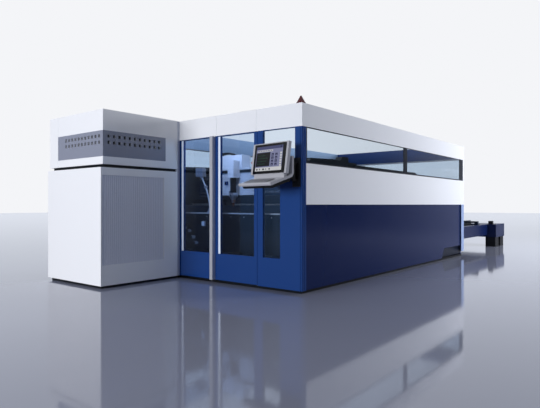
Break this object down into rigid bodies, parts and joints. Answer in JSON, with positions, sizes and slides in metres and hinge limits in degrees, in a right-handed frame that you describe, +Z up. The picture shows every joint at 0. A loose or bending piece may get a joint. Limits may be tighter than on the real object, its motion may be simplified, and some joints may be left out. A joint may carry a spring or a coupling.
{
  "type": "fiber laser cutting machine",
  "caption": "Flatbed fiber laser cutting machine: enclosed bed with glazed doors, moving gantry and head, source cabinet, operator console and two-level pallet changer.",
  "frame": {"origin": "centre of the footprint on the floor, with the cabinet and the pallet changer included", "axes": "+X to the right seen from the doors, +Y from the doors towards the pallet changer, +Z up"},
  "size_m": [3.54, 10.7, 2.396],
  "materials": {
    "white_paint": "satin",
    "blue_paint": "satin",
    "navy_paint": "satin",
    "black_paint": "satin",
    "frame_paint": "satin",
    "bed_paint": "satin",
    "strip_paint": "satin",
    "light_grey_paint": "satin",
    "vent_paint": "satin",
    "truck_paint": "satin",
    "pallet_steel": "mill",
    "ground_steel": "ground",
    "bright_aluminium": "bright",
    "satin_aluminium": "satin",
    "clear_glass": "polished",
    "screen_glass": "gloss",
    "black_plastic": "matte",
    "red_lens": "gloss",
    "red_plastic": "gloss",
    "copper": "machined"
  },
  "bodies": {
    "machine": {"base_plinth": "black_paint", "front_fascia": "white_paint", "side_fascias": "white_paint", "rear_fascia": "white_paint", "front_posts": "blue_paint", "rear_corner_strips": "strip_paint", "side_bands": "white_paint", "lower_panels": "navy_paint", "window_frames": "frame_paint", "fixed_panes": "clear_glass", "front_fixed_panels": "blue_paint", "rear_wall": "navy_paint", "warning_beacon": "red_lens", "door_pivots": "ground_steel", "cabinet_frame": "black_paint", "cabinet_base": "white_paint", "cabinet_hood": "white_paint", "vent_band": "vent_paint", "fluted_grille": "vent_paint", "cabinet_trim": "light_grey_paint", "source_modules": "light_grey_paint", "machine_bed": "bed_paint", "leveling_feet": "black_paint", "guide_rails": "ground_steel", "pallet_tracks": "bed_paint", "scrap_trays": "pallet_steel", "chain_tray": "bed_paint", "energy_chain": "black_plastic", "changer_beams": "blue_paint", "changer_end_box": "blue_paint", "changer_legs": "black_paint", "changer_motor": "black_paint", "panel_bracket": "black_paint"},
    "gantry": {"gantry_beam": "bed_paint", "gantry_trucks": "truck_paint", "beam_rails": "ground_steel", "beam_tray": "black_plastic"},
    "carriage": {"carriage": "light_grey_paint", "carriage_cover": "light_grey_paint"},
    "head": {"cutting_head": "satin_aluminium", "head_sleeve": "black_plastic", "nozzle": "copper"},
    "working_pallet": {"working_pallet": "pallet_steel"},
    "working_front_axle": {"working_front_axle": "ground_steel"},
    "working_rear_axle": {"working_rear_axle": "ground_steel"},
    "waiting_pallet": {"waiting_pallet": "pallet_steel"},
    "waiting_front_axle": {"waiting_front_axle": "ground_steel"},
    "waiting_rear_axle": {"waiting_rear_axle": "ground_steel"},
    "door_right": {"door_right_frame": "blue_paint", "door_right_pane": "clear_glass", "door_right_strip": "bright_aluminium", "door_grip": "satin_aluminium"},
    "door_left": {"door_left_frame": "blue_paint", "door_left_pane": "clear_glass", "door_left_strip": "bright_aluminium"},
    "console": {"panel_arm": "black_paint", "panel_console": "satin_aluminium", "panel_screen": "screen_glass", "panel_keys": "black_plastic"},
    "stop_button": {"stop_button": "red_plastic"}
  },
  "joints": [
    {"name": "gantry_slide", "type": "slide", "parent": "machine", "child": "gantry", "axis": [0, 1, 0], "range_m": [-0.17, 2.83], "deforming": ["energy_chain"]},
    {"name": "carriage_slide", "type": "slide", "parent": "gantry", "child": "carriage", "axis": [1, 0, 0], "range_m": [-0.549, 0.951]},
    {"name": "head_slide", "type": "slide", "parent": "carriage", "child": "head", "axis": [0, 0, 1], "range_m": [-0.115, 0.03], "deforming": ["head_sleeve"]},
    {"name": "working_pallet_slide", "type": "slide", "parent": "machine", "child": "working_pallet", "axis": [0, 1, 0], "range_m": [0, 5.08]},
    {"name": "waiting_pallet_slide", "type": "slide", "parent": "machine", "child": "waiting_pallet", "axis": [0, 1, 0], "range_m": [-5.08, 0]},
    {"name": "working_front_axle_spin", "type": "hinge", "parent": "working_pallet", "child": "working_front_axle", "pos_m": [0.27, -3.447, 0.706], "axis": [1, 0, 0], "continuous": true},
    {"name": "working_rear_axle_spin", "type": "hinge", "parent": "working_pallet", "child": "working_rear_axle", "pos_m": [0.27, -0.747, 0.706], "axis": [1, 0, 0], "continuous": true},
    {"name": "waiting_front_axle_spin", "type": "hinge", "parent": "waiting_pallet", "child": "waiting_front_axle", "pos_m": [0.27, 1.633, 0.451], "axis": [1, 0, 0], "continuous": true},
    {"name": "waiting_rear_axle_spin", "type": "hinge", "parent": "waiting_pallet", "child": "waiting_rear_axle", "pos_m": [0.27, 4.333, 0.451], "axis": [1, 0, 0], "continuous": true},
    {"name": "door_right_hinge", "type": "hinge", "parent": "machine", "child": "door_right", "pos_m": [1.048, -4.025, 0.036], "axis": [0, 0, 1], "range_deg": [0, 90]},
    {"name": "door_left_hinge", "type": "hinge", "parent": "machine", "child": "door_left", "pos_m": [-0.398, -4.025, 0.036], "axis": [0, 0, 1], "range_deg": [-88, 0]},
    {"name": "console_swivel", "type": "hinge", "parent": "machine", "child": "console", "pos_m": [1.695, -4.122, 1.47], "axis": [0, 0, 1], "range_deg": [-2, 60]},
    {"name": "stop_button_press", "type": "slide", "parent": "console", "child": "stop_button", "axis": [0.9903, -0.1392, 0], "range_m": [0, 0.005], "stiffness_N_per_m": 800}
  ],
  "couplings": [
    {"joint": "waiting_pallet_slide", "follows": "working_pallet_slide", "ratio": -1},
    {"joint": "working_front_axle_spin", "follows": "working_pallet_slide", "rad_per_m": -25},
    {"joint": "working_rear_axle_spin", "follows": "working_pallet_slide", "rad_per_m": -25},
    {"joint": "waiting_front_axle_spin", "follows": "working_pallet_slide", "rad_per_m": 25},
    {"joint": "waiting_rear_axle_spin", "follows": "working_pallet_slide", "rad_per_m": 25}
  ]
}
